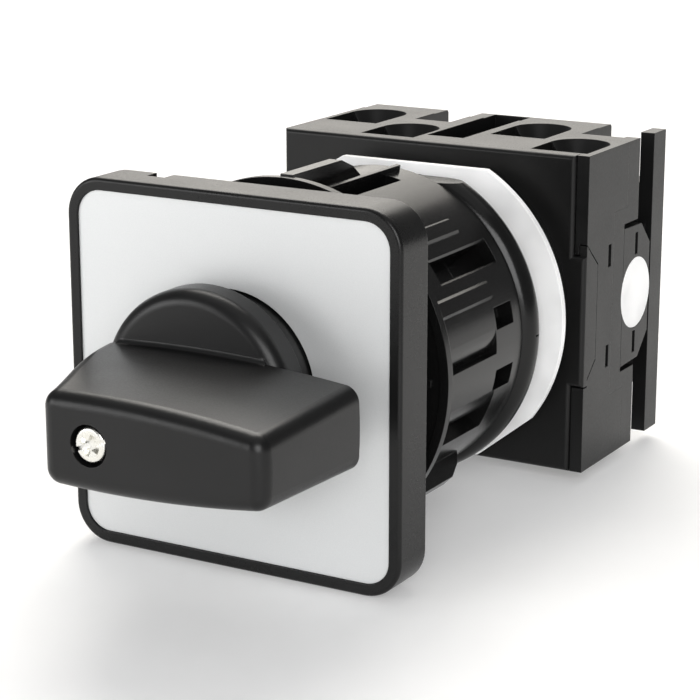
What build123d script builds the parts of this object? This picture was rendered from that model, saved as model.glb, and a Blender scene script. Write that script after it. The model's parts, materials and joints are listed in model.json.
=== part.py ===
"""Rotary isolator switch for centre mounting in a 22.5 mm panel hole.

The origin is the centre of the bezel's back face, where the switch seats on the panel.
+Y runs to the rear along the shaft, -Y faces the operator, +Z is up. Millimetres.
"""
from build123d import *
import math
import os

os.makedirs("parts", exist_ok=True)

# ---------------------------------------------------------------- driving dimensions
bezel_side = 48.0
bezel_depth = 6.4
bezel_corner = 5.0
label_side = 44.8
label_corner = 3.4
label_thickness = 0.8
label_recess = 0.3
panel_gap = 6.1              # bezel back face to thrust ring, as delivered
thread_pitch = 1.5

collar_radius = 11.1         # threaded tube through the panel
collar_ring_radius = 11.75   # ring round the foot of the knob
collar_front = -8.8
collar_rear = 35.0

knob_disc_radius = 13.5
knob_disc_rear = -10.3
knob_disc_front = -14.7
knob_front = -35.35
knob_left = -13.2
knob_right = 23.0
knob_cove = 0.8              # fillet between handle and disc

spindle_radius = 5.0
square_shaft = 6.0
square_play = 0.1

thrust_ring_radius = 23.8
thrust_ring_thickness = 1.2
nut_radius = 21.3
nut_wall = 1.8
nut_front = panel_gap + thrust_ring_thickness + 0.05
nut_rear = 32.0
lug_radius = 24.0
bead_radius = 22.45
bead_flat = 19.6
bead_rear = 36.5

index_radius = 18.8
index_wall = 1.2
index_rear = 45.8
ring_radius = 23.2
ring_flat = 20.3
ring_front = 40.6
ring_thickness = 1.0

housing_half_width = 24.0
housing_half_height = 22.4
cover_front = index_rear
cover_thickness = 1.6
cover_right = 22.1
front_storey = 46.0          # reference plane of the front contact storey
storey_pitch = 9.5
side_wall_rear = 63.8
plate_front = 69.0
rear_face = 73.65

cam_low_radius = 6.0
cam_lift = 1.6
cam_thickness = 5.0
cam_clearance = 0.08

# x of each terminal opening, by storey and side
terminal_x = {("front", "left"): -8.25, ("front", "right"): 18.6,
              ("rear", "left"): -18.9, ("rear", "right"): 8.35}
storey_y = {"front": front_storey, "rear": front_storey + storey_pitch}
mechanism_y = {"front": 50.9, "rear": 59.1}
side_sign = {"left": -1, "right": 1}
level_sign = {"upper": 1, "lower": -1}

opening_half_width = 4.25
screw_behind_storey = 9.0    # terminal screw axis behind its storey's reference plane
strip_x = 10.0               # middle of the upright leg of a terminal strip
strip_thickness = 0.8
strip_top = 16.6
funnel_base = 19.9           # the screwdriver funnels open out from here
chamber_half_width = 20.8
chamber_half_height = 12.2
tie_screw_places = [(17.6, 8.8), (-17.6, -8.8)]


def across(y):
    """Plane across the shaft at y: sketch x is +X, sketch y is +Z, extrusion is towards -Y."""
    return Plane.XZ.offset(-y)


def save(piece, label):
    """Label a finished piece and write it."""
    piece.label = label
    export_step(piece, f"parts/{label}.step")


def tube(y_front, y_rear, outer, inner):
    """A plain ring between two planes, kept apart from the part being built."""
    with BuildPart(mode=Mode.PRIVATE) as ring:
        with BuildSketch(across(y_rear)):
            Circle(outer)
            Circle(inner, mode=Mode.SUBTRACT)
        extrude(amount=y_rear - y_front)
    return ring.part


def block(x_range, y_range, z_range):
    """A box given by its limits, kept apart from the part being built."""
    size = [high - low for low, high in (x_range, y_range, z_range)]
    middle = [(high + low) / 2 for low, high in (x_range, y_range, z_range)]
    return Pos(*middle) * Box(*size, mode=Mode.PRIVATE)


# ---------------------------------------------------------------- knob and its screw
skirt_rear = -4.5
screw_seat = knob_front + 2.4
screw_head_front = knob_front + 0.25

with BuildPart() as knob_disc:
    with BuildSketch(across(knob_disc_rear)):
        Circle(knob_disc_radius)
    extrude(amount=knob_disc_rear - knob_disc_front)
    fillet(knob_disc.faces().sort_by(Axis.Y)[0].edges(), 1.9)

with BuildPart() as handle_cove:
    with BuildSketch(across(knob_disc_front + 0.1)):
        with BuildLine():
            foot = ThreePointArc((knob_left, 5.4), (4.0, 5.9), (knob_right, 4.6))
            crest = ThreePointArc((knob_left, 5.65 + knob_cove), (4.0, 6.15 + knob_cove),
                                  (knob_right, 4.85 + knob_cove))
            Line(foot @ 0, crest @ 0)
            Line(foot @ 1, crest @ 1)
        make_face()
    extrude(amount=knob_cove + 0.1)
    with BuildLine(across(knob_disc_front - knob_cove + 0.03)):
        axis_line = ThreePointArc((knob_left, 5.65 + knob_cove), (4.0, 6.15 + knob_cove),
                                  (knob_right, 4.85 + knob_cove))
    with BuildSketch(axis_line ^ 0):
        Circle(knob_cove)
    sweep(path=axis_line, mode=Mode.SUBTRACT)
    with BuildSketch(across(knob_disc_rear)):
        Circle(knob_disc_radius - 1.3)
    extrude(amount=10, mode=Mode.INTERSECT)
    mirror(about=Plane.XY)

with BuildPart() as knob:
    # handle bar: convex top and bottom, drafted towards the front, long end on the right
    for y, left_half, middle_half, right_half in [(knob_disc_front, 5.7, 6.2, 4.9),
                                                  (knob_front, 5.0, 5.7, 4.15)]:
        with BuildSketch(across(y)):
            with BuildLine():
                ThreePointArc((knob_left, left_half), (4.0, middle_half),
                              (knob_right, right_half))
                ThreePointArc((knob_right, right_half), (knob_right + 0.2, 0),
                              (knob_right, -right_half))
                ThreePointArc((knob_right, -right_half), (4.0, -middle_half),
                              (knob_left, -left_half))
                Line((knob_left, -left_half), (knob_left, left_half))
            make_face()
    loft(ruled=True)
    # the short end leans in towards the front face
    with BuildSketch():
        with BuildLine():
            lean = Spline((-12.9, knob_disc_front + 0.01), (-12.2, -19.0), (-9.4, -27.0),
                          (-6.3, knob_front - 0.01))
            Polyline(lean @ 1, (-20, knob_front - 0.01), (-20, knob_disc_front + 0.01), lean @ 0)
        make_face()
    extrude(amount=10, both=True, mode=Mode.SUBTRACT)
    fillet(knob.edges().filter_by(lambda edge: edge.bounding_box().size.Y > 15), 2.0)
    fillet(knob.faces().sort_by(Axis.Y)[0].edges(), 1.8)
    add(knob_disc.part)
    add(handle_cove.part)
    # hollow back, with the hub for the spindle left standing
    with BuildSketch(across(knob_disc_rear)):
        with BuildLine():
            Polyline((-7.5, 3.6), (4, 3.9), (20.4, 2.5), (20.4, -2.5), (4, -3.9), (-7.5, -3.6),
                     close=True)
        make_face()
        Circle(6.2, mode=Mode.SUBTRACT)
    extrude(amount=knob_disc_rear + 24.5, mode=Mode.SUBTRACT)
    # skirt that runs in the mounting collar
    with BuildSketch(across(skirt_rear)):
        Circle(10.7)
        Circle(9.2, mode=Mode.SUBTRACT)
    extrude(amount=skirt_rear - knob_disc_rear)
    # square socket, screw hole and screw head pocket
    with BuildSketch(across(knob_disc_rear)):
        Rectangle(6.7, 6.7)
    extrude(amount=knob_disc_rear + 22.4, mode=Mode.SUBTRACT)
    with BuildSketch(across(knob_disc_rear)):
        Circle(1.7)
    extrude(amount=knob_disc_rear - knob_front, mode=Mode.SUBTRACT)
    with BuildSketch(across(screw_seat)):
        Circle(2.5)
    extrude(amount=screw_seat - knob_front, mode=Mode.SUBTRACT)
save(knob.part, "knob")

with BuildPart() as knob_screw:
    with BuildSketch(across(screw_seat)):
        Circle(2.1)
    extrude(amount=screw_seat - screw_head_front)
    fillet(knob_screw.faces().sort_by(Axis.Y)[0].edges(), 0.35)
    with BuildSketch(across(-14.0)):
        Circle(1.5)
    extrude(amount=-14.0 - screw_seat + 0.1)
    # slot with a cross laid over it
    with BuildSketch(across(screw_head_front + 0.6)):
        Rectangle(4.9, 0.5, rotation=20)
        Rectangle(2.6, 0.75, rotation=65)
        Rectangle(2.6, 0.75, rotation=-25)
    extrude(amount=1.0, mode=Mode.SUBTRACT)
save(knob_screw.part, "knob_screw")

# ---------------------------------------------------------------- front plate
with BuildPart() as bezel:
    with BuildSketch(across(0)):
        RectangleRounded(bezel_side, bezel_side, bezel_corner)
    extrude(amount=bezel_depth)
    fillet(bezel.faces().sort_by(Axis.Y)[0].edges(), 0.5)
    label_floor = -bezel_depth + label_recess + label_thickness
    with BuildSketch(across(label_floor)):
        RectangleRounded(label_side + 0.1, label_side + 0.1, label_corner)
    extrude(amount=label_floor + bezel_depth + 1, mode=Mode.SUBTRACT)
    with BuildSketch(across(0)):
        Circle(collar_ring_radius + 0.1)
    extrude(amount=bezel_depth, mode=Mode.SUBTRACT)
    # seat of the mounting collar's flange and groove of the panel seal
    with BuildSketch(across(0)):
        Circle(14.9)
    extrude(amount=3.1, mode=Mode.SUBTRACT)
    with BuildSketch(across(0)):
        Circle(18.6)
        Circle(15.6, mode=Mode.SUBTRACT)
    extrude(amount=1.2, mode=Mode.SUBTRACT)
    # pry notches in the upper and lower rear edges
    with Locations((-13.3, -1.0, bezel_side / 2), (-13.3, -1.0, -bezel_side / 2)):
        Box(2.6, 2.2, 1.6, mode=Mode.SUBTRACT)
save(bezel.part, "bezel")

with BuildPart() as label_plate:
    with BuildSketch(across(-bezel_depth + label_recess + label_thickness)):
        RectangleRounded(label_side, label_side, label_corner)
        Circle(collar_ring_radius + 0.3, mode=Mode.SUBTRACT)
    extrude(amount=label_thickness)
save(label_plate.part, "label_plate")

with BuildPart() as mounting_collar:
    with BuildSketch(Plane.XY):
        with BuildLine():
            Polyline((10.9, collar_front), (collar_ring_radius, collar_front),
                     (collar_ring_radius, -3.05), (14.8, -3.05), (14.8, -0.1),
                     (collar_radius, -0.1), (collar_radius, collar_rear),
                     (spindle_radius + 0.08, collar_rear), (spindle_radius + 0.08, 31.0),
                     (8.5, 31.0), (8.5, 1.0), (spindle_radius + 0.08, 1.0),
                     (spindle_radius + 0.08, -2.5), (10.9, -2.5), close=True)
        make_face()
        # thread, as a row of V grooves
        groove_count = int((nut_rear - 2.5) / thread_pitch)
        with Locations(*[(collar_radius, 2.5 + i * thread_pitch) for i in range(groove_count)]):
            Rectangle(0.5, 0.5, rotation=45, mode=Mode.SUBTRACT)
    revolve(axis=Axis.Y)
    # locating key that fits the notch of the panel hole
    with Locations((0, 1.2, 11.4)):
        Box(3.0, 2.4, 1.1)
save(mounting_collar.part, "mounting_collar")

save(tube(-1.15, 0.3, 18.5, 15.7), "panel_seal")

# ---------------------------------------------------------------- clamping behind the panel
with BuildPart() as thrust_ring:
    with BuildSketch(Plane.XY):
        with BuildLine():
            Polyline((13.0, panel_gap + 0.3), (22.6, panel_gap + 0.3), (22.6, panel_gap),
                     (thrust_ring_radius, panel_gap), (thrust_ring_radius, panel_gap + 1.2),
                     (13.0, panel_gap + 1.2), close=True)
        make_face()
    revolve(axis=Axis.Y)
    # raised grips that bite on the panel
    with BuildSketch(across(panel_gap + 0.4)):
        with PolarLocations(17.8, 12):
            Rectangle(7.0, 0.9)
    extrude(amount=0.4)
save(thrust_ring.part, "thrust_ring")


def sector(inner, outer, angle_from, angle_to, y_front, y_rear):
    """A piece of tube between two angles, measured from +X towards +Z."""
    with BuildPart(mode=Mode.PRIVATE) as piece:
        with BuildSketch(across(y_rear)):
            with BuildLine():
                Line(Vector(inner, 0).rotate(Axis.Z, angle_from),
                     Vector(outer, 0).rotate(Axis.Z, angle_from))
                outside = CenterArc((0, 0), outer, angle_from, angle_to - angle_from)
                Line(outside @ 1, Vector(inner, 0).rotate(Axis.Z, angle_to))
                CenterArc((0, 0), inner, angle_from, angle_to - angle_from)
            make_face()
        extrude(amount=y_rear - y_front)
    return piece.part


def twice(piece):
    """A piece and its copy half a turn round the shaft."""
    return [piece, piece.rotate(Axis.Y, 180)]


def bevelled_window(angle_from, angle_to, y_front, y_rear):
    """Cutter for a window through the drum whose two long edges are bevelled."""
    with BuildPart(mode=Mode.PRIVATE) as cutter:
        with BuildSketch(across(y_rear)):
            with BuildLine():
                Polyline(*[Vector(radius, 0).rotate(Axis.Z, angle) for radius, angle in
                           [(19.0, angle_from), (nut_radius - 0.3, angle_from),
                            (nut_radius + 0.2, angle_from - 1.3),
                            (nut_radius + 0.2, angle_to + 1.3),
                            (nut_radius - 0.3, angle_to), (19.0, angle_to)]], close=True)
            make_face()
        extrude(amount=y_rear - y_front)
    return cutter.part


def grip_hollow(angle_from, angle_to, y_front, y_rear, depth):
    """Cutter for a finger grip: it starts flush at the upper angle and ends in a step."""
    middle = (angle_from + angle_to) / 2
    corners = [Vector(radius, 0).rotate(Axis.Z, angle) for radius, angle in
               [(nut_radius, angle_to), (nut_radius - 0.3 * depth, middle),
                (nut_radius - depth, angle_from), (nut_radius + 1.5, angle_from),
                (nut_radius + 1.5, angle_to)]]
    with BuildPart(mode=Mode.PRIVATE) as cutter:
        with BuildSketch(across(y_rear)):
            with BuildLine():
                ThreePointArc(*corners[:3])
                Polyline(*corners[2:], corners[0])
            make_face()
        extrude(amount=y_rear - y_front)
    return cutter.part


def spanner_lug(angle):
    """A narrow lug along the drum, sloping down to it at the rear end."""
    with BuildPart(mode=Mode.PRIVATE) as lug:
        with BuildSketch(Plane.YZ):
            with BuildLine():
                Polyline((nut_front, 20.6), (nut_front, lug_radius), (19.5, lug_radius),
                         (22.4, 22.8), (24.5, 21.2), (24.5, 20.6), close=True)
            make_face()
        extrude(amount=0.93, both=True)
    return lug.part.rotate(Axis.Y, 90 - angle)


def raised_pad(angle_from, angle_to, y_rear):
    """A flat pad on the drum with bevelled edges."""
    with BuildPart(mode=Mode.PRIVATE) as pad:
        add(sector(21.0, nut_radius + 0.5, angle_from, angle_to, nut_front + 0.4, y_rear))
        outer_face = pad.faces().filter_by(GeomType.CYLINDER).sort_by(SortBy.AREA)[-1]
        chamfer(outer_face.edges(), 0.35)
    return pad.part


# features of the nut's drum: angles from +X towards +Z, front and rear
raised_pads = [(18.6, 25.2, 24.7), (44.2, 50.8, 24.9)]
drum_windows = [(74.9, 81.1, 13.5, 27.1),
                (7.4, 15.2, 24.7, 29.6), (-15.2, -7.4, 24.7, 29.6)]
grip_hollows = [(-0.9, 8.0, 11.6, 24.4, 1.25), (-30.5, -15.0, 12.6, 25.5, 2.6)]

with BuildPart() as clamp_nut:
    add(tube(nut_front, nut_rear, nut_radius, nut_radius - nut_wall))
    add(tube(nut_rear - 2.2, nut_rear, nut_radius - 0.5, 12.5))
    add(tube(18.0, nut_rear, 14.2, collar_radius + 0.1))
    # ribs between hub and drum
    with BuildSketch(across(nut_rear - 1)):
        with PolarLocations(16.8, 12, start_angle=11.2):
            Rectangle(6.2, 1.4)
    extrude(amount=19)
    # thicker wall behind the deep grips
    add(twice(sector(17.6, 19.6, -33.5, -13.0, 10.0, 28.5)))
    add([copy for pad in raised_pads for copy in twice(raised_pad(*pad))])
    add([spanner_lug(angle) for angle in (90, -90, -45, 135)])
    # thin rib above the upper window
    add(twice(sector(21.0, 22.1, 81.1, 82.7, nut_front + 0.4, 30.8)))
    add([copy for window in drum_windows for copy in twice(sector(19.0, 21.9, *window))],
        mode=Mode.SUBTRACT)
    add(twice(bevelled_window(30.2, 38.4, 14.0, 29.6)), mode=Mode.SUBTRACT)
    add([copy for hollow in grip_hollows for copy in twice(grip_hollow(*hollow))],
        mode=Mode.SUBTRACT)
save(clamp_nut.part, "clamp_nut")

with BuildPart() as coupling_flange:
    with BuildSketch(Plane.XY):
        with BuildLine():
            front_side = Polyline((collar_radius + 0.05, nut_rear + 0.1), (20.7, nut_rear + 0.1))
            bulge = ThreePointArc(front_side @ 1, (bead_radius, 34.4), (20.9, bead_rear))
            Polyline(bulge @ 1, (17.5, bead_rear), (17.5, 37.9), (16.4, 37.9), (16.4, bead_rear),
                     (8.2, bead_rear), (8.2, collar_rear + 0.05),
                     (collar_radius + 0.05, collar_rear + 0.05), front_side @ 0)
        make_face()
    revolve(axis=Axis.Y)
    for side in (1, -1):
        with Locations((0, 34.4, side * (bead_flat + 2))):
            Box(60, 8, 4, mode=Mode.SUBTRACT)
    # seam mark on the bead
    with Locations((bead_radius, 35.0, 0), (-bead_radius, 35.0, 0)):
        Box(0.6, 2.4, 0.2, mode=Mode.SUBTRACT)
save(coupling_flange.part, "coupling_flange")

# ---------------------------------------------------------------- shaft line
with BuildPart() as operating_spindle:
    with BuildSketch(across(35.95)):
        Circle(spindle_radius)
    extrude(amount=36.95 + 4.0)
    with BuildSketch(across(-4.9)):
        Rectangle(6.6, 6.6)
    extrude(amount=17.3)
    with BuildSketch(across(37.9)):
        Circle(spindle_radius)
    extrude(amount=2.0)
    # groove of the circlip
    with BuildSketch(across(35.9)):
        Circle(spindle_radius + 1)
        Circle(4.5, mode=Mode.SUBTRACT)
    extrude(amount=0.7, mode=Mode.SUBTRACT)
    # socket for the square cam shaft and hole for the knob screw
    with BuildSketch(across(38.0)):
        Rectangle(square_shaft + square_play, square_shaft + square_play)
    extrude(amount=8.0, mode=Mode.SUBTRACT)
    with BuildSketch(across(-12.0)):
        Circle(1.56)
    extrude(amount=11.0, mode=Mode.SUBTRACT)
save(operating_spindle.part, "operating_spindle")

with BuildPart() as spindle_seal:
    with BuildSketch(Plane.XY):
        with BuildLine():
            Polyline((5.1, -4.2), (6.4, -4.2), (6.4, -3.2), (8.8, -3.2), (8.8, -2.55),
                     (5.1, -2.55), close=True)
        make_face()
    revolve(axis=Axis.Y)
save(spindle_seal.part, "spindle_seal")

with BuildPart() as spindle_circlip:
    add(tube(35.25, 35.85, 7.3, 4.55))
    with Locations((0, 35.5, -6.0)):
        Box(2.4, 2.0, 5.0, mode=Mode.SUBTRACT)
save(spindle_circlip.part, "spindle_circlip")

with BuildPart() as cam_shaft:
    with BuildSketch(across(69.4)):
        Rectangle(square_shaft, square_shaft)
    extrude(amount=69.4 - 30.2)
    chamfer(cam_shaft.edges().filter_by(Axis.Y), 0.4)
    with BuildSketch(across(71.8)):
        Circle(2.95)
    extrude(amount=2.5)
save(cam_shaft.part, "cam_shaft")

# ---------------------------------------------------------------- indexing unit
with BuildPart() as index_housing:
    add(tube(bead_rear + 0.02, index_rear, index_radius, index_radius - index_wall))
    add(tube(44.2, index_rear, 18.0, 4.7))
    # ledge behind the marking ring, drilled for the tie screws
    add(tube(ring_front + ring_thickness, index_rear, 21.6, index_radius - index_wall))
    # end stops and leaf spring holders
    add(sector(10.0, index_radius - 0.9, 162, 169, 41.3, 44.5))
    add(sector(10.0, index_radius - 0.9, 281, 288, 41.3, 44.5))
    for x_side in (1, -1):
        for z_side in (1, -1):
            with Locations((x_side * 14.1, 41.3, z_side * 8.2)):
                Box(2.2, 6.4, 4.4)
            with Locations((x_side * 14.1, 39.8, z_side * 7.85)):
                Box(3.0, 4.4, 0.62, mode=Mode.SUBTRACT)
    with Locations(*[(x, 0, z) for x, z in tie_screw_places]):
        with Locations((0, index_rear - 1.9, 0)):
            Cylinder(1.4, 3.9, rotation=(90, 0, 0), mode=Mode.SUBTRACT)
    for side in (1, -1):
        with Locations((0, 43.8, side * (bead_flat + 1.2))):
            Box(60, 4.6, 2.4, mode=Mode.SUBTRACT)
save(index_housing.part, "index_housing")

with BuildPart() as marking_ring:
    with BuildSketch(across(ring_front + ring_thickness)):
        Circle(ring_radius)
        Rectangle(60, 2 * ring_flat, mode=Mode.INTERSECT)
        Circle(index_radius + 0.02, mode=Mode.SUBTRACT)
        # small flat that marks the lower right corner
        with PolarLocations(22.45 + 1, 1, start_angle=-51.4):
            Rectangle(2, 20, mode=Mode.SUBTRACT)
    extrude(amount=ring_thickness)
save(marking_ring.part, "marking_ring")

with BuildPart() as index_wheel:
    with BuildSketch(across(41.1)):
        RectangleRounded(15, 15, 2.2)
    extrude(amount=2.9)
    with BuildSketch(across(44.1)):
        Circle(8.5)
    extrude(amount=3.0)
    add(sector(8.0, 14.0, 171, 189, 41.5, 43.7))
    with BuildSketch(across(45)):
        Rectangle(square_shaft + square_play, square_shaft + square_play)
    extrude(amount=10, mode=Mode.SUBTRACT)
save(index_wheel.part, "index_wheel")

for level, z_side in level_sign.items():
    with BuildPart() as index_spring:
        with Locations((0, 39.7, z_side * 7.85)):
            Box(30.4, 2.6, 0.5)
        fillet(index_spring.edges().filter_by(Axis.Z), 0.5)
    save(index_spring.part, f"index_spring_{level}")

# ---------------------------------------------------------------- covers and contact housings
tab_outline = [(45.8, 10.0), (46.3, 10.0), (50.0, 6.7), (50.0, -6.7), (46.3, -10.0), (45.8, -10.0)]
clip_outline = [(59.1, 10.1), (65.2, 9.9), (68.5, 6.6), (68.5, -6.6), (65.2, -9.9), (59.1, -10.1)]
cover_wide_z = (-10.0, 8.5)  # where the front cover is as wide as the housing
tab_thickness = 1.1
tab_inner = housing_half_width - tab_thickness
slot_size = (1.4, 1.0, 3.1)
centre_slot_x = (-3.4, 2.4)
centre_slot_y = (51.1, 73.0)
centre_slot_floor = 14.4
cell_floor = 13.2
block_x = {("front", "left"): (-13.2, -3.4), ("front", "right"): (13.7, 24.0),
           ("rear", "left"): (-24.0, -13.9), ("rear", "right"): (3.4, 13.3)}
opening_front = {"front": 48.0, "rear": 56.2}
storey_front = {"front": 47.4, "rear": 55.5}
storey_rear = {"front": 55.5, "rear": side_wall_rear}
block_rear = {"front": 59.9, "rear": plate_front}
notch_x = [(-11.7, -5.8), (15.3, 21.9)]
notch_y = (62.9, 74.0)
notch_floor = 15.0
top = housing_half_height
marking_disc_y = 63.8
marking_disc_radius = 5.2


def both_levels(x_range, y_range, z_range):
    """A box above the shaft and its mirror image below it."""
    low, high = z_range
    return [block(x_range, y_range, (low, high)), block(x_range, y_range, (-high, -low))]


def side_plates(outline, inner, outer):
    """A flat plate on the right side wall and its mirror image on the left."""
    with BuildPart(mode=Mode.PRIVATE) as plates:
        with BuildSketch(Plane.YZ.offset(inner)):
            with BuildLine():
                Polyline(*outline, close=True)
            make_face()
        extrude(amount=outer - inner)
        mirror(about=Plane.YZ)
    return plates.part


def grown(outline, margin_y, margin_z):
    """The same outline with room to spare to the rear and up and down."""
    return [(y + (margin_y if y > 49 else 0), z + math.copysign(margin_z, z)) for y, z in outline]


def side_slots(y):
    """Narrow latch slots in both side walls."""
    return [block((side * 24.2 - 0.6, side * 24.2 + 0.6), (y - 0.5, y + 0.5), (z - 1.6, z + 1.6))
            for side in (1, -1) for z in (7.25, -7.25)]


def tie_screw_holes(y_front, y_rear, radius):
    """Round holes along the shaft direction, one for each tie screw."""
    with BuildPart(mode=Mode.PRIVATE) as holes:
        with BuildSketch(across(y_rear)):
            with Locations(*tie_screw_places):
                Circle(radius)
        extrude(amount=y_rear - y_front)
    return holes.part


def terminal_cavities(storey, side):
    """Everything cut for one storey's upper and lower terminals on one side."""
    x = terminal_x[storey, side]
    y = storey_y[storey] + screw_behind_storey
    leg = side_sign[side] * strip_x
    cuts = both_levels((x - opening_half_width, x + opening_half_width),
                       (opening_front[storey], y), (strip_top, top + 1))
    cuts += both_levels((min(x - 3.5, leg - 0.5), max(x + 3.5, leg + 0.5)),
                        (storey_front[storey], y + 2.3), (strip_top - 0.85, strip_top + 0.05))
    cuts += both_levels((leg - 0.5, leg + 0.5),
                        (storey_front[storey], mechanism_y[storey] + 1.9),
                        (chamber_half_height - 0.5, strip_top))
    for level in (1, -1):
        tilt = 90 - level * 90
        funnel = Cone(2.8, opening_half_width, top - funnel_base, mode=Mode.PRIVATE)
        cuts.append(Pos(x, y, level * (top + funnel_base) / 2) * Rot(tilt, 0, 0) * funnel)
        pocket = Cylinder(3.6, funnel_base - strip_top, mode=Mode.PRIVATE)
        cuts.append(Pos(x, y, level * (funnel_base + strip_top) / 2) * pocket)
        cuts.append(Pos(x, y, level * 14.9) * Cylinder(1.9, 2.6, mode=Mode.PRIVATE))
    return cuts


with BuildPart() as front_cover:
    add(block((-housing_half_width, cover_right), (cover_front, cover_front + cover_thickness),
              (-top, top)))
    add(block((cover_right, housing_half_width), (cover_front, cover_front + cover_thickness),
              cover_wide_z))
    fillet(front_cover.faces().sort_by(Axis.Y)[0].edges(), 0.6)
    add(side_plates(tab_outline[1:-1], tab_inner, housing_half_width))
    add(tie_screw_holes(45, 48, 1.7), mode=Mode.SUBTRACT)
    with Locations((0, 46.6, 0)):
        Cylinder(4.7, 4, rotation=(90, 0, 0), mode=Mode.SUBTRACT)
save(front_cover.part, "front_cover")

for storey in ("front", "rear"):
    y_front = storey_front[storey]
    y_rear = storey_rear[storey]
    with BuildPart() as contact_housing:
        add(block((-housing_half_width, housing_half_width), (y_front, y_rear), (-top, top)))
        # terminal blocks that reach back beside the next storey
        for side in ("left", "right"):
            add(both_levels(block_x[storey, side], (y_rear, block_rear[storey]),
                            (cell_floor, top)))
        if storey == "front":
            # rim beside the front cover
            add(block((cover_right + 0.1, housing_half_width), (46.3, y_front), (-top, top)))
            add(side_plates(grown(tab_outline, 0.1, 0.2), tab_inner - 0.1, 25.0),
                mode=Mode.SUBTRACT)
            add(block((cover_right - 0.1, 25), (46, y_front),
                      (cover_wide_z[0] - 0.2, cover_wide_z[1] + 0.2)), mode=Mode.SUBTRACT)
            add(side_slots(54.1), mode=Mode.SUBTRACT)
            # way for the rear storey's left terminal strip under the front block
            add(both_levels((-13.3, -9.5), (57.25, 60), (13.1, strip_top + 0.05)),
                mode=Mode.SUBTRACT)
        else:
            # room for the front storey's terminal blocks, the clip tab and the rear notches
            for side in ("left", "right"):
                add(both_levels(block_x["front", side], (y_front, block_rear["front"]),
                                (cell_floor, top + 1)), mode=Mode.SUBTRACT)
            add(side_plates([(59.0, 10.8), (66.0, 10.8), (66.0, -10.8), (59.0, -10.8)],
                            tab_inner - 0.1, 25.0), mode=Mode.SUBTRACT)
            for x_range in notch_x:
                add(both_levels(x_range, notch_y, (notch_floor, top + 1)), mode=Mode.SUBTRACT)
            with Locations((housing_half_width, marking_disc_y, 0)):
                Cylinder(marking_disc_radius, 1.2, rotation=(0, 90, 0), mode=Mode.SUBTRACT)
        # mechanism chamber, open to the front
        add(block((-chamber_half_width, chamber_half_width), (y_front, y_rear - 1.2),
                  (-chamber_half_height, chamber_half_height)), mode=Mode.SUBTRACT)
        for side in ("left", "right"):
            add(terminal_cavities(storey, side), mode=Mode.SUBTRACT)
        add(both_levels(centre_slot_x, centre_slot_y, (centre_slot_floor, top + 1)),
            mode=Mode.SUBTRACT)
        # plunger guides and tie screw posts
        for sign in (1, -1):
            guide_x = sorted((sign * 8.8, sign * 11.0))
            add(both_levels(guide_x, (y_front + 0.1, y_rear - 1.0), (2.5, 3.4)))
        add(tie_screw_holes(y_front, y_rear, 2.8))
        add(tie_screw_holes(y_front - 1, y_rear + 1, 1.7), mode=Mode.SUBTRACT)
        with Locations((0, y_rear, 0)):
            Cylinder(4.7, 4, rotation=(90, 0, 0), mode=Mode.SUBTRACT)
    save(contact_housing.part, f"contact_housing_{storey}")

with BuildPart() as rear_cover:
    add(block((-22.0, 21.8), (side_wall_rear, plate_front), (-20.8, 20.8)))
    add(block((-housing_half_width, housing_half_width), (plate_front, rear_face),
              (-top + 0.1, top - 0.1)))
    chamfer(rear_cover.faces().sort_by(Axis.Y)[-1].edges(), 0.35)
    for x_range in [(-13.9, -11.7), (-5.8, 3.4), (13.3, 15.3)]:
        add(both_levels(x_range, (side_wall_rear, plate_front), (20.0, top)))
    # room for the rear storey's terminal blocks
    for side in ("left", "right"):
        add(both_levels(block_x["rear", side], (side_wall_rear - 1, plate_front),
                        (cell_floor, top + 1)), mode=Mode.SUBTRACT)
    for x_range in notch_x:
        add(both_levels(x_range, notch_y, (notch_floor, top + 1)), mode=Mode.SUBTRACT)
    add(both_levels(centre_slot_x, centre_slot_y, (centre_slot_floor, top + 1)),
        mode=Mode.SUBTRACT)
    # clip tabs over the side walls
    add(side_plates(clip_outline, tab_inner, housing_half_width))
    add(side_plates([(63.9, 9), (69.5, 9), (69.5, -9), (63.9, -9)], 21.0, tab_inner + 0.1))
    add(side_slots(63.6), mode=Mode.SUBTRACT)
    with Locations((housing_half_width, marking_disc_y, 0)):
        Cylinder(marking_disc_radius, 1.2, rotation=(0, 90, 0), mode=Mode.SUBTRACT)
    # shaft bearing
    with Locations((0, 66.4, 0)):
        Cylinder(4.7, 6.0, rotation=(90, 0, 0), mode=Mode.SUBTRACT)
    with Locations((0, 69.0, 0)):
        Cylinder(3.0, 6.0, rotation=(90, 0, 0), mode=Mode.SUBTRACT)
    # tie screws with sunk heads
    add(tie_screw_holes(side_wall_rear - 1, rear_face + 1, 1.7), mode=Mode.SUBTRACT)
    add(tie_screw_holes(rear_face - 2.6, rear_face + 1, 3.1), mode=Mode.SUBTRACT)
save(rear_cover.part, "rear_cover")

with BuildPart() as side_marking_disc:
    with Locations((housing_half_width - 0.3, marking_disc_y, 0)):
        Cylinder(marking_disc_radius - 0.05, 0.56, rotation=(0, 90, 0))
save(side_marking_disc.part, "side_marking_disc")

with BuildPart() as tie_screws:
    with BuildSketch(across(rear_face - 0.4)):
        with Locations(*tie_screw_places):
            Circle(2.9)
    extrude(amount=2.15)
    with BuildSketch(across(rear_face - 2)):
        with Locations(*tie_screw_places):
            Circle(1.35)
    extrude(amount=rear_face - 2 - 42.4)
    with BuildSketch(across(rear_face)):
        with Locations(*tie_screw_places):
            Rectangle(3.4, 0.8)
            Rectangle(0.8, 3.4)
    extrude(amount=1.4, mode=Mode.SUBTRACT)
save(tie_screws.part, "tie_screws")

# ---------------------------------------------------------------- contacts
fixed_tip_inner = strip_x + strip_thickness / 2
fixed_tip_outer = 11.1
bridge_inner = 11.8
bridge_outer = 12.5
tip_height = 7.0
tip_radius = 1.3
plunger_nose_radius = 0.8


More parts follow.
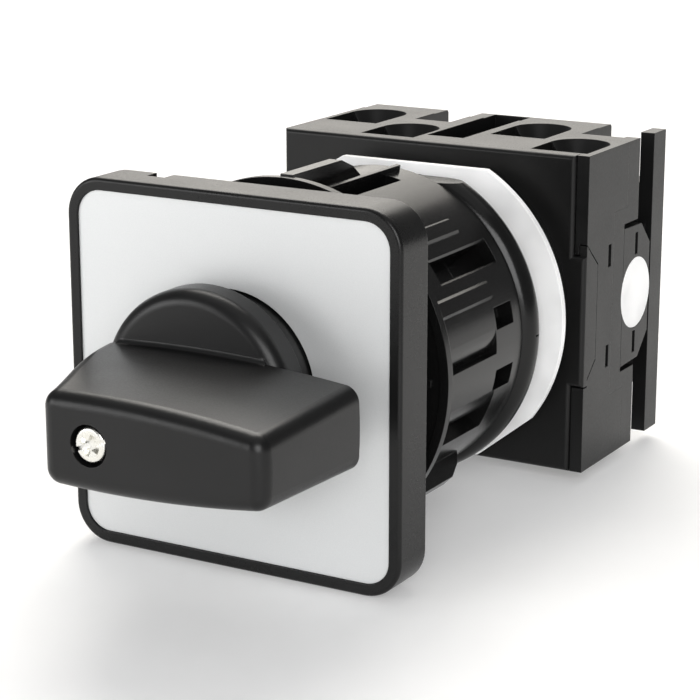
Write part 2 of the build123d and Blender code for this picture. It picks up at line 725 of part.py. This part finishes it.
def cam_radius(angle):
    """Radius of the cam, rising evenly from the two low points beside the plungers."""
    return cam_low_radius + cam_lift * abs(angle) / 90


for storey, y in mechanism_y.items():
    with BuildPart() as cam:
        with BuildSketch(across(y + cam_thickness / 2)):
            with BuildLine():
                for start in (-90, 0):
                    angles = [start + 10 * i for i in range(10)]
                    rise = Spline(*[Vector(cam_radius(a), 0).rotate(Axis.Z, a) for a in angles])
                    mirror(rise, about=Plane.YZ)
            make_face()
            Rectangle(square_shaft + square_play, square_shaft + square_play,
                      mode=Mode.SUBTRACT)
        extrude(amount=cam_thickness)
    save(cam.part, f"cam_{storey}")

    for side, sign in side_sign.items():
        nose_x = cam_low_radius + cam_clearance + plunger_nose_radius
        with BuildPart() as plunger:
            with BuildSketch(across(y + 2)):
                with Locations((sign * nose_x, 0)):
                    Circle(plunger_nose_radius)
                with Locations((sign * (nose_x + 8.7) / 2, 0)):
                    Rectangle(8.7 - nose_x, 2 * plunger_nose_radius)
                with Locations((sign * 10.2, 0)):
                    Rectangle(3.1, 4.8)
            extrude(amount=4)
            # cheeks that hold the bridge
            for cheek in (1.7, -1.7):
                with Locations((sign * 12.05, y + cheek, 0)):
                    Box(0.8, 0.6, 4.8)
        save(plunger.part, f"plunger_{storey}_{side}")

        with BuildPart() as bridge:
            with Locations((sign * (bridge_inner + bridge_outer) / 2, y, 0)):
                Box(bridge_outer - bridge_inner, 2.6, 16.8)
            fillet(bridge.edges().filter_by(Axis.X), 0.5)
        save(bridge.part, f"contact_bridge_{storey}_{side}")

        with BuildPart() as moving_tips:
            tip_thickness = bridge_inner - fixed_tip_outer - 0.05
            for z in (tip_height, -tip_height):
                with Locations((sign * (bridge_inner - tip_thickness / 2), y, z)):
                    Cylinder(tip_radius - 0.1, tip_thickness, rotation=(0, 90, 0))
        save(moving_tips.part, f"moving_tips_{storey}_{side}")

        with BuildPart() as contact_spring:
            with BuildLine() as coil:
                Helix(pitch=1.5, height=7.6, radius=1.7, center=(sign * 12.85, y, 0),
                      direction=(sign, 0, 0))
            with BuildSketch(Plane(origin=coil.line @ 0, z_dir=coil.line % 0)):
                Circle(0.2)
            sweep()
        save(contact_spring.part, f"contact_spring_{storey}_{side}")

        terminal = terminal_x[storey, side]
        leg = sign * strip_x
        screw_y = storey_y[storey] + screw_behind_storey
        for level, z_sign in level_sign.items():
            with BuildPart() as terminal_strip:
                add(block((leg - strip_thickness / 2, leg + strip_thickness / 2),
                          (y - 1.8, y + 1.8), sorted((z_sign * 5.6, z_sign * strip_top))))
                plate_x = (min(terminal - 3.4, leg - strip_thickness / 2),
                           max(terminal + 3.4, leg + strip_thickness / 2))
                plate_z = sorted((z_sign * (strip_top - strip_thickness), z_sign * strip_top))
                add(block(plate_x, (y - 1.8, y + 1.8), plate_z))
                add(block((terminal - 3.4, terminal + 3.4), (y - 1.8, screw_y + 2.2), plate_z))
                with Locations((terminal, screw_y, z_sign * strip_top)):
                    Cylinder(1.65, 3, mode=Mode.SUBTRACT)
            save(terminal_strip.part, f"terminal_{storey}_{side}_{level}")

terminal_places = [(terminal_x[storey, side], storey_y[storey] + screw_behind_storey, z_sign)
                   for storey in storey_y for side in side_sign for z_sign in (1, -1)]
head_base = 18.5
head_height = 1.8
washer_side = 4.8

with BuildPart() as fixed_tips:
    for y in mechanism_y.values():
        for sign in side_sign.values():
            for z in (tip_height, -tip_height):
                with Locations((sign * (fixed_tip_inner + fixed_tip_outer) / 2, y, z)):
                    Cylinder(tip_radius, fixed_tip_outer - fixed_tip_inner, rotation=(0, 90, 0))
save(fixed_tips.part, "fixed_contact_tips")

with BuildPart() as terminal_screws:
    for x, y, z_sign in terminal_places:
        with Locations((x, y, z_sign * (head_base + head_height / 2))):
            Cylinder(2.5, head_height)
        with Locations((x, y, z_sign * (head_base + 13.7) / 2)):
            Cylinder(1.55, head_base - 13.7)
        with Locations((x, y, z_sign * (head_base + head_height))):
            Box(5.4, 0.8, 1.4, mode=Mode.SUBTRACT)
            Box(0.8, 3.2, 1.4, mode=Mode.SUBTRACT)
save(terminal_screws.part, "terminal_screws")

with BuildPart() as clamp_washers:
    for x, y, z_sign in terminal_places:
        with Locations((x, y, z_sign * (head_base - 0.4))):
            Box(washer_side, washer_side, 0.8)
            Cylinder(1.65, 2, mode=Mode.SUBTRACT)
save(clamp_washers.part, "clamp_washers")
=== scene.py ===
"""Rotary isolator switch: materials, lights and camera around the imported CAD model."""
import json
import math

import bpy
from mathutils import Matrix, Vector


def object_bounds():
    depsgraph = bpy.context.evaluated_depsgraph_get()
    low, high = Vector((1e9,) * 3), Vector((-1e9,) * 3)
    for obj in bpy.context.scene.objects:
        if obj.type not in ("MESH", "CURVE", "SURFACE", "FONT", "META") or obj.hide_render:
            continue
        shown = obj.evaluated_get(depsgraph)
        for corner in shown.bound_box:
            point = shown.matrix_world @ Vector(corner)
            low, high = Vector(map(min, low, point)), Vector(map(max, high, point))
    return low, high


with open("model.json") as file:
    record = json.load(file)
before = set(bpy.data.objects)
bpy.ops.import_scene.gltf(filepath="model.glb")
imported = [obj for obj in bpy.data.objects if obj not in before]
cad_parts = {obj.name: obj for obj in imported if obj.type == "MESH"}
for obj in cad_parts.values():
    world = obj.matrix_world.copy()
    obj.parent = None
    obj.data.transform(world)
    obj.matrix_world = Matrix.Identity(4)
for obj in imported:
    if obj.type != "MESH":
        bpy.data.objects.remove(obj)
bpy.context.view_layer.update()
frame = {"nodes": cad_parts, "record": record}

MM = 0.001
BEVEL_SAMPLES = 6
nodes = frame["nodes"]
record = frame["record"]


# ------------------------------------------------------------------ shader helpers
class Shader:
    """A material's node tree, with short calls for the nodes used here."""

    def __init__(self, name):
        self.material = bpy.data.materials.new(name)
        self.material.use_nodes = True
        self.tree = self.material.node_tree
        self.tree.nodes.clear()
        self.output = self.add("ShaderNodeOutputMaterial")
        self.surface = self.add("ShaderNodeBsdfPrincipled")
        self.link(self.surface.outputs["BSDF"], self.output.inputs["Surface"])
        self.position = self.add("ShaderNodeTexCoord").outputs["Object"]

    def add(self, kind, **settings):
        node = self.tree.nodes.new(kind)
        for key, value in settings.items():
            setattr(node, key, value)
        return node

    def link(self, source, target):
        self.tree.links.new(source, target)

    def set(self, **values):
        for key, value in values.items():
            self.surface.inputs[key.replace("_", " ")].default_value = value

    def noise(self, size, detail=2.0, rough=0.5):
        """Noise whose features are about size millimetres across, from 0 to 1."""
        mapping = self.add("ShaderNodeMapping")
        mapping.inputs["Scale"].default_value = [1 / (size * MM)] * 3
        self.link(self.position, mapping.inputs["Vector"])
        noise = self.add("ShaderNodeTexNoise")
        noise.inputs["Scale"].default_value = 1.0
        noise.inputs["Detail"].default_value = detail
        noise.inputs["Roughness"].default_value = rough
        self.link(mapping.outputs["Vector"], noise.inputs["Vector"])
        return noise.outputs["Fac"]

    def span(self, value, low, high, start=0.3, end=0.7):
        """A value spread over another range."""
        node = self.add("ShaderNodeMapRange")
        node.inputs["From Min"].default_value = start
        node.inputs["From Max"].default_value = end
        node.inputs["To Min"].default_value = low
        node.inputs["To Max"].default_value = high
        self.link(value, node.inputs["Value"])
        return node.outputs["Result"]

    def math(self, operation, first, second):
        node = self.add("ShaderNodeMath", operation=operation)
        for socket, value in zip(node.inputs, (first, second)):
            if isinstance(value, (int, float)):
                socket.default_value = value
            else:
                self.link(value, socket)
        return node.outputs["Value"]

    def mix(self, factor, first, second):
        node = self.add("ShaderNodeMix", data_type="RGBA")
        for socket, value in ((node.inputs[0], factor), (node.inputs[6], first),
                              (node.inputs[7], second)):
            if isinstance(value, (int, float)):
                socket.default_value = value
            elif isinstance(value, tuple):
                socket.default_value = (*value, 1.0)
            else:
                self.link(value, socket)
        return node.outputs[2]

    def edges(self, radius):
        """About 1 on edges sharper than the radius in millimetres, 0 on flats."""
        bevel = self.add("ShaderNodeBevel", samples=BEVEL_SAMPLES)
        bevel.inputs["Radius"].default_value = radius * MM
        geometry = self.add("ShaderNodeNewGeometry")
        dot = self.add("ShaderNodeVectorMath", operation="DOT_PRODUCT")
        self.link(bevel.outputs["Normal"], dot.inputs[0])
        self.link(geometry.outputs["Normal"], dot.inputs[1])
        return self.span(dot.outputs["Value"], 1.0, 0.0, start=0.86, end=0.995)

    def bump(self, height, distance, soften=0.0):
        """Bump of a height from 0 to 1, with edges softened over a radius in millimetres."""
        bump = self.add("ShaderNodeBump")
        bump.inputs["Distance"].default_value = distance * MM
        self.link(height, bump.inputs["Height"])
        if soften:
            bevel = self.add("ShaderNodeBevel", samples=BEVEL_SAMPLES)
            bevel.inputs["Radius"].default_value = soften * MM
            self.link(bevel.outputs["Normal"], bump.inputs["Normal"])
        self.link(bump.outputs["Normal"], self.surface.inputs["Normal"])


def moulded(name, colour, roughness, grain=0.28, depth=0.012, edge=0.12, gloss=1.375):
    """Moulded thermoplastic: fine spark grain, faint flow clouds, lower roughness and a painted
    highlight along edges.
    """
    shader = Shader(name)
    grain_height = shader.noise(grain, detail=3.0, rough=0.6)
    clouds = shader.noise(9.0, detail=2.0)
    # Edge mask: drives a painted highlight in the colour and lower roughness on edges.
    edge_highlight_and_polish = shader.edges(edge * 1.6)
    base = shader.mix(shader.span(clouds, 0.0, 1.0), tuple(c * 0.86 for c in colour),
                      tuple(c * 1.14 for c in colour))
    # Painted highlight: the base colour is lightened along edges.
    edge_highlight_colour = shader.mix(shader.math("MULTIPLY", edge_highlight_and_polish, 0.35), base,
                          tuple(c * 1.6 + 0.006 for c in colour))
    shader.link(edge_highlight_colour, shader.surface.inputs["Base Color"])
    rough = shader.math("ADD", shader.span(grain_height, roughness - 0.04, roughness + 0.05),
                        shader.span(clouds, -0.025, 0.025))
    rough = shader.math("SUBTRACT", rough, shader.math("MULTIPLY", edge_highlight_and_polish, 0.06))
    shader.link(rough, shader.surface.inputs["Roughness"])
    shader.set(IOR=gloss)
    shader.bump(grain_height, depth, soften=edge)
    return shader.material


def plated(name, colour, roughness, tint=(0.9, 0.86, 0.74)):
    """Plated or rolled metal: fine marks, faint passivation tint, softened edges."""
    shader = Shader(name)
    marks = shader.noise(0.35, detail=4.0, rough=0.65)
    tone = shader.noise(1.8, detail=2.0)
    base = shader.mix(shader.span(tone, 0.0, 0.45), colour,
                      tuple(c * t for c, t in zip(colour, tint)))
    shader.link(base, shader.surface.inputs["Base Color"])
    shader.link(shader.span(marks, roughness - 0.07, roughness + 0.1),
                shader.surface.inputs["Roughness"])
    shader.set(Metallic=1.0)
    shader.bump(marks, 0.006, soften=0.08)
    return shader.material


def printed_silver(name):
    """Front label: silver-grey print under a fine satin varnish."""
    shader = Shader(name)
    flakes = shader.noise(0.12, detail=2.0, rough=0.7)
    orange_peel = shader.noise(1.6, detail=1.0)
    base = shader.mix(shader.span(flakes, 0.0, 1.0), (0.60, 0.61, 0.615), (0.65, 0.66, 0.66))
    shader.link(base, shader.surface.inputs["Base Color"])
    shader.link(shader.span(flakes, 0.36, 0.48), shader.surface.inputs["Roughness"])
    shader.set(Metallic=0.25, IOR=1.45)
    height = shader.math("ADD", shader.math("MULTIPLY", orange_peel, 0.8),
                         shader.math("MULTIPLY", flakes, 0.2))
    shader.bump(height, 0.01, soften=0.06)
    return shader.material


def rubber(name, colour):
    """Moulded rubber: matt, with a talc bloom."""
    shader = Shader(name)
    bloom = shader.noise(0.8, detail=5.0, rough=0.65)
    base = shader.mix(shader.span(bloom, 0.0, 1.0), colour, tuple(c * 1.6 for c in colour))
    shader.link(base, shader.surface.inputs["Base Color"])
    shader.link(shader.span(bloom, 0.62, 0.82), shader.surface.inputs["Roughness"])
    shader.bump(bloom, 0.02)
    return shader.material


materials = {
    "knob_black": moulded("knob_black", (0.005, 0.005, 0.0052), 0.33, grain=0.22, depth=0.003,
                          edge=0.1),
    "bezel_black": moulded("bezel_black", (0.006, 0.006, 0.006), 0.30, depth=0.005, gloss=1.34),
    "nut_black": moulded("nut_black", (0.005, 0.005, 0.005), 0.20, depth=0.005),
    "housing_black": moulded("housing_black", (0.006, 0.006, 0.006), 0.34, depth=0.008,
                             gloss=1.34),
    "label_silver": printed_silver("label_silver"),
    "marking_white": moulded("marking_white", (0.95, 0.95, 0.95), 0.5, depth=0.006),
    "zinc_steel": plated("zinc_steel", (0.78, 0.78, 0.76), 0.28),
    "spring_steel": plated("spring_steel", (0.55, 0.55, 0.56), 0.25),
    "inner_plastic": moulded("inner_plastic", (0.62, 0.6, 0.54), 0.42),
    "contact_brass": plated("contact_brass", (0.78, 0.6, 0.31), 0.27, tint=(0.95, 0.86, 0.72)),
    "silver_tips": plated("silver_tips", (0.88, 0.88, 0.86), 0.18, tint=(0.98, 0.96, 0.9)),
    "seal_rubber": rubber("seal_rubber", (0.02, 0.02, 0.02)),
}

for subpart in record["subparts"]:
    piece = nodes[subpart["node"]]
    piece.material_slots[0].link = "OBJECT"
    piece.material_slots[0].material = materials[subpart["material_slot"]]


# ------------------------------------------------------------------ floor, light, camera
FLOOR_GAP = 0.0002      # keeps the floor clear of the lowest faces
FLOOR_SIDE = 6.0
AIM = (0.0, 0.02, 0.0)  # the middle of the switch, which every lamp faces
WHITE = (1.0, 1.0, 1.0)
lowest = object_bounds()[0][2]
floor_z = lowest - FLOOR_GAP
bpy.ops.mesh.primitive_plane_add(size=FLOOR_SIDE, location=(0, 0, floor_z))
floor = bpy.context.object
floor.name = "floor"
paper = Shader("floor_paper")
fibres = paper.noise(3.0, detail=4.0)
paper.link(paper.mix(paper.span(fibres, 0.0, 1.0), (0.74, 0.74, 0.74), (0.78, 0.78, 0.78)),
           paper.surface.inputs["Base Color"])
paper.set(Roughness=0.8, Emission_Color=(*WHITE, 1.0), Emission_Strength=0.25)
floor.data.materials.append(paper.material)


def softbox(name, place, width, power, colour=WHITE, spread=180.0):
    """A square area light in watts and metres, aimed at the switch."""
    light = bpy.data.lights.new(name, "AREA")
    light.shape = "SQUARE"
    light.size = width
    light.energy = power
    light.color = colour
    light.spread = math.radians(spread)
    lamp = bpy.data.objects.new(name, light)
    lamp.location = place
    lamp.rotation_euler = (Vector(AIM) - Vector(place)).to_track_quat("-Z", "Y").to_euler()
    bpy.context.scene.collection.objects.link(lamp)


softbox("overhead", (0.0, 0.0, 1.2), 1.6, 3.3)
softbox("back", (-0.38, 0.90, 0.40), 0.7, 1.15, (1.0, 0.96, 0.89), 120.0)
softbox("back_high", (-0.35, 0.62, 0.95), 0.8, 5.0, (1.0, 0.97, 0.92), 120.0)
softbox("fill_right", (0.80, -1.10, 0.50), 0.9, 15.0)
softbox("fill_left", (-0.90, -1.00, 0.15), 0.8, 9.0)

world = bpy.data.worlds.new("studio")
bpy.context.scene.world = world
world.use_nodes = True
background = world.node_tree.nodes["Background"]
background.inputs["Color"].default_value = (*WHITE, 1.0)
background.inputs["Strength"].default_value = 0.18

bpy.context.scene.view_settings.view_transform = "Standard"

AZIMUTH = math.radians(30.0)
ELEVATION = math.radians(15.0)
CAMERA_PLACE_MM = (143.82, -225.89, 74.63)
LENS_MM = 114.13
SENSOR_MM = 36.0
camera_data = bpy.data.cameras.new("camera")
camera_data.lens = LENS_MM
camera_data.sensor_width = SENSOR_MM
camera_data.clip_start = 0.01
camera = bpy.data.objects.new("camera", camera_data)
camera.location = [value * MM for value in CAMERA_PLACE_MM]
facing = Vector((-math.sin(AZIMUTH) * math.cos(ELEVATION),
                 math.cos(AZIMUTH) * math.cos(ELEVATION), -math.sin(ELEVATION)))
camera.rotation_euler = facing.to_track_quat("-Z", "Y").to_euler()
bpy.context.scene.collection.objects.link(camera)
bpy.context.scene.camera = camera
